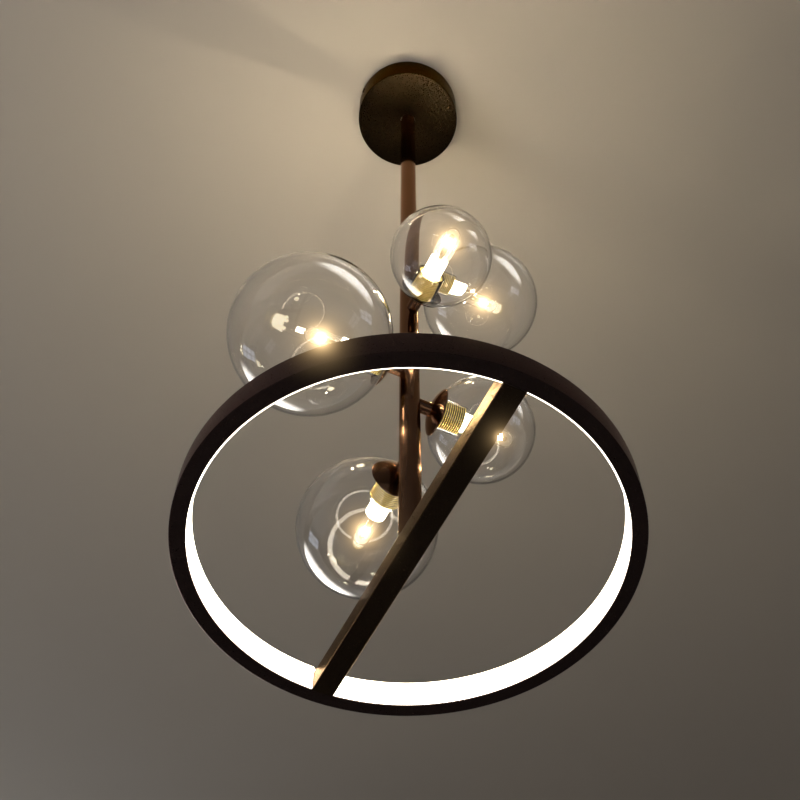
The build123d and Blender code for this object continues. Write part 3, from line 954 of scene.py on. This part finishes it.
def mirrored_light(name, place, target, size, radiance, colour, soft=False):
    """A light that glass and metal mirror, but that doesn't show straight through the glass."""
    lamp = area_light(name, place, target, size, radiance, colour)
    lamp.visible_transmission = True
    lamp.visible_diffuse = False
    lamp.data.use_nodes = True
    tree = lamp.data.node_tree
    # Its strength is 0 for a ray that has passed through glass without a reflection, and else 1.
    ray = tree.nodes.new("ShaderNodeLightPath")
    passed = math_node(tree, "GREATER_THAN", ray.outputs["Transmission Depth"], 0.5)
    unmirrored = math_node(tree, "LESS_THAN", ray.outputs["Glossy Depth"], 0.5)
    straight = math_node(tree, "MULTIPLY", passed, unmirrored)
    strength = math_node(tree, "SUBTRACT", 1.0, straight)
    if soft:
        strength = math_node(tree, "MULTIPLY", strength, faded_edges(tree))
    tree.links.new(strength, tree.nodes["Emission"].inputs["Strength"])


def window(name, place, radiance, colour):
    """Panes of light with bars between them."""
    aim = (Vector(MIDDLE) - Vector(place)).normalized()
    side = aim.cross(Vector((0, 0, 1))).normalized()
    rise = side.cross(aim)
    pitch = [length + WINDOW_BAR for length in PANE_SIZE]
    for column in range(PANE_COLUMNS):
        for row in range(PANE_ROWS):
            shift = side * (column - (PANE_COLUMNS - 1) / 2) * pitch[0]
            shift += rise * (row - (PANE_ROWS - 1) / 2) * pitch[1]
            at = Vector(place) + shift
            mirrored_light(f"{name}_{column}_{row}", at, at + aim, PANE_SIZE, radiance, colour)


def make_windows():
    """Two windows, mirrored in the globes."""
    window("window_a", place=(-1.9, -2.2, -1.0), radiance=2.4, colour=(0.74, 0.82, 1.0))
    window("window_b", place=(2.4, 1.9, -1.2), radiance=1.0, colour=(0.8, 0.86, 1.0))


def make_left_fill():
    """Daylight on the ceiling at the left of the view."""
    fill = area_light(
        "left_fill",
        place=(0.5, -2.6, -1.0),
        target=(0.2, -0.7, 0),
        size=(1.6, 1.4),
        radiance=3.8,
        colour=(0.97, 0.97, 1.0),
    )
    fill.visible_glossy = False


def make_floor_wash():
    """A faint light on the floor, which throws a little of it back up."""
    wash = area_light(
        "floor_wash",
        place=(0, 0, -1.8),
        target=(0, 0, FLOOR_LEVEL),
        size=(6.0, 6.0),
        radiance=0.09,
        colour=(1.0, 0.98, 0.95),
    )
    wash.visible_glossy = False


def make_ceiling_glow():
    """More of the bulbs' warm light on the ceiling and the upper pieces."""
    data = bpy.data.lights.new("ceiling_glow", "POINT")
    data.energy = 1.5
    data.color = (1.0, 0.84, 0.58)
    data.shadow_soft_size = 0.04
    lamp = link_object("ceiling_glow", data)
    lamp.location = (-0.03, -0.07, -0.3)
    lamp.visible_camera = False
    lamp.visible_glossy = False
    lamp.visible_transmission = False


def make_bright_wall():
    """A wide bright wall with soft edges, mirrored in the globes and metals."""
    mirrored_light(
        "bright_wall",
        place=(-2.5, -0.4, -0.25),
        target=MIDDLE,
        size=(2.8, 2.0),
        radiance=7.0,
        colour=(1.0, 0.96, 0.9),
        soft=True,
    )


def make_world():
    """The rest of the room: a dim tone that is seen and mirrored, but lights no matt surface."""
    world = bpy.data.worlds.new("room_light")
    bpy.context.scene.world = world
    world.use_nodes = True
    tree = world.node_tree
    back = tree.nodes["Background"]
    back.inputs["Color"].default_value = (*WORLD_COLOUR, 1)
    ray = tree.nodes.new("ShaderNodeLightPath")
    share = tree.nodes.new("ShaderNodeMapRange")
    share.inputs["To Min"].default_value = WORLD_SEEN
    share.inputs["To Max"].default_value = WORLD_LIGHT
    tree.links.new(ray.outputs["Is Diffuse Ray"], share.inputs["Value"])
    tree.links.new(share.outputs["Result"], back.inputs["Strength"])


# ---------------------------------------------------------------- camera and picture

# The camera stands under the light, to the right of the crossbar's near end, and looks up.
CAMERA_PLACE = (0.5428, -0.2632, -1.6092)
CAMERA_HEADING = math.radians(60.014)
CAMERA_PITCH = math.radians(56.587)
CAMERA_ROLL = math.radians(-3.788)
FOCAL_PIXELS = 1188.5
AXIS_PIXEL = (456.45, 378.38)
IMAGE_SIZE = 800
SENSOR = 36.0
CLIP_START = 0.01
CLIP_END = 50

# Glow round what is brighter than the threshold.
BLOOM = {
    "Threshold": 12.0,
    "Smoothness": 0.1,
    "Maximum": 60.0,
    "Clamp": True,
    "Strength": 4.0,
    "Tint": (1.0, 0.8, 0.55, 1.0),
    "Size": 0.05,
}

# Light that comes round by way of another surface is cut off here, so that it makes no specks.
INDIRECT_LIMIT = 60.0

# A ray takes four bounces to pass through a globe, and four more through the capsule in it.
BOUNCES = 28
GLASS_BOUNCES = 26
CLEAR_BOUNCES = 16


def make_camera():
    """A camera with the photograph's place, turn, focal length and optical centre."""
    data = bpy.data.cameras.new("camera")
    data.sensor_width = SENSOR
    data.lens = SENSOR * FOCAL_PIXELS / IMAGE_SIZE
    data.shift_x = (IMAGE_SIZE / 2 - AXIS_PIXEL[0]) / IMAGE_SIZE
    data.shift_y = (AXIS_PIXEL[1] - IMAGE_SIZE / 2) / IMAGE_SIZE
    data.clip_start = CLIP_START
    data.clip_end = CLIP_END
    turn = Matrix.Rotation(CAMERA_HEADING, 3, "Z")
    ahead = turn @ Vector((0, math.cos(CAMERA_PITCH), math.sin(CAMERA_PITCH)))
    level = turn @ Vector((1, 0, 0))
    steep = turn @ Vector((0, -math.sin(CAMERA_PITCH), math.cos(CAMERA_PITCH)))
    c, s = math.cos(CAMERA_ROLL), math.sin(CAMERA_ROLL)
    right = level * c + steep * s
    up = steep * c - level * s
    camera = link_object("camera", data)
    axes = Matrix((right, up, -ahead)).transposed().to_4x4()
    camera.matrix_world = Matrix.Translation(CAMERA_PLACE) @ axes
    bpy.context.scene.camera = camera


def make_bloom():
    """The soft glow that a camera sees round the bulbs."""
    scene = bpy.context.scene
    scene.use_nodes = True
    tree = scene.node_tree
    tree.nodes.clear()
    layers = tree.nodes.new("CompositorNodeRLayers")
    glare = tree.nodes.new("CompositorNodeGlare")
    glare.glare_type = "BLOOM"
    for setting, value in BLOOM.items():
        glare.inputs[setting].default_value = value
    out = tree.nodes.new("CompositorNodeComposite")
    tree.links.new(layers.outputs["Image"], glare.inputs["Image"])
    tree.links.new(glare.outputs["Image"], out.inputs["Image"])


def set_look():
    """Plain colours, and enough bounces for light to pass through every wall of glass."""
    scene = bpy.context.scene
    scene.view_settings.view_transform = "Standard"
    scene.cycles.max_bounces = BOUNCES
    scene.cycles.transmission_bounces = GLASS_BOUNCES
    scene.cycles.transparent_max_bounces = CLEAR_BOUNCES
    scene.cycles.sample_clamp_indirect = INDIRECT_LIMIT
    scene.cycles.caustics_reflective = False
    scene.cycles.caustics_refractive = False


# ---------------------------------------------------------------- the whole scene

dress_cad_nodes()
make_canopy()
make_stem()
make_crossbar()
make_ring()
make_bands()
for number in GLOBES:
    make_arm(number)
    make_cap(number)
    make_holder(number)
    make_bulb(number)
    make_globe(number)
make_floor()
make_ceiling()
make_windows()
make_left_fill()
make_floor_wash()
make_ceiling_glow()
make_bright_wall()
make_world()
make_camera()
make_bloom()
set_look()
